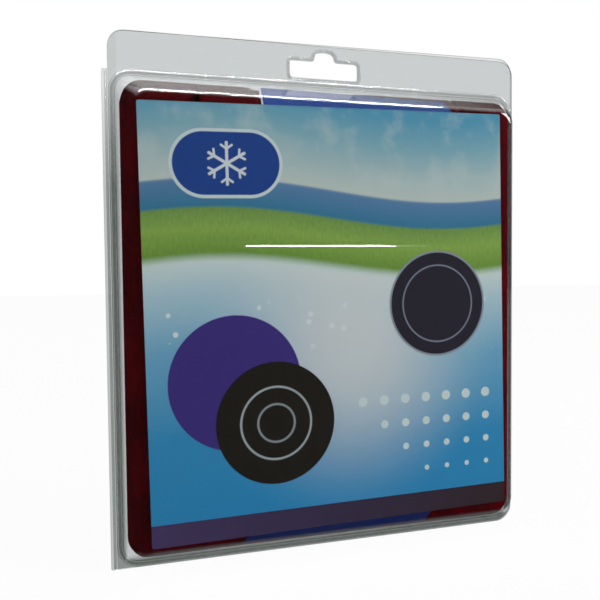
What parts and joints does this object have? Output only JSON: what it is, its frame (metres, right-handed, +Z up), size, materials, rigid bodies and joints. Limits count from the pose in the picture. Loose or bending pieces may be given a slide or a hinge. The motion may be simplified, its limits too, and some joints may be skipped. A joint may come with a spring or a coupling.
{
  "type": "cooling wallet in hang pack",
  "caption": "Cloth cooling wallet with a flap and a quilted gel pouch, behind a printed card in a clear two-part shell that opens like a book and hangs from a slot.",
  "frame": {"origin": "under the middle of the pack's width and depth, at its lowest edge", "axes": "+Z up along the height, -Y out of the printed front, +X to the right seen from the front"},
  "size_m": [0.1696, 0.0216, 0.1984],
  "materials": {
    "clear_shell": "clear thermoformed sheet",
    "printed_card": "printed, satin varnish",
    "plain_card": "printed pale, satin varnish",
    "leaflet_paper": "folded, uncoated",
    "cover_cloth": "brushed woven polyester",
    "binding_tape": "ribbed woven tape",
    "fastener_tape": "hook and loop pile",
    "label_cloth": "fine woven, bare",
    "pouch_cloth": "plain cotton weave",
    "lining_cloth": "fine cotton weave",
    "gel": "dry crystals in a sewn channel"
  },
  "bodies": {
    "rear_pack": {"rear_shell": "clear_shell", "rear_card": "plain_card", "leaflet": "leaflet_paper"},
    "front_cover": {"front_shell": "clear_shell", "front_card": "printed_card"},
    "wallet": {"cover_front": "cover_cloth", "cover_back": "cover_cloth", "edge_binding": "binding_tape", "loop_tape": "fastener_tape", "blank_label": "label_cloth", "pouch_front_sheet": "pouch_cloth", "pouch_front_lining": "lining_cloth", "pouch_back_lining": "lining_cloth", "pouch_back_sheet": "pouch_cloth", "pouch_gusset": "pouch_cloth", "gel_front_1": "gel", "gel_front_2": "gel", "gel_front_3": "gel", "gel_front_4": "gel", "gel_front_5": "gel", "gel_back_1": "gel", "gel_back_2": "gel", "gel_back_3": "gel", "gel_back_4": "gel", "gel_back_5": "gel"},
    "flap": {"flap": "cover_cloth", "hook_tape": "fastener_tape"}
  },
  "joints": [
    {"name": "shell_hinge", "type": "hinge", "parent": "rear_pack", "child": "front_cover", "pos_m": [-0.0838, 0.0038, 0.09], "axis": [0, 0, -1], "range_deg": [0, 170]},
    {"name": "wallet_lift", "type": "slide", "parent": "rear_pack", "child": "wallet", "axis": [0, -1, 0], "range_m": [0, 0.03]},
    {"name": "flap_hinge", "type": "hinge", "parent": "wallet", "child": "flap", "pos_m": [0.001, 0.00875, 0.16845], "axis": [-1, 0, 0], "range_deg": [0, 136]}
  ],
  "couplings": [
    {"joint": "wallet_lift", "follows": "shell_hinge", "m_per_rad": 0.0101},
    {"joint": "flap_hinge", "follows": "shell_hinge", "ratio": 0.8}
  ]
}
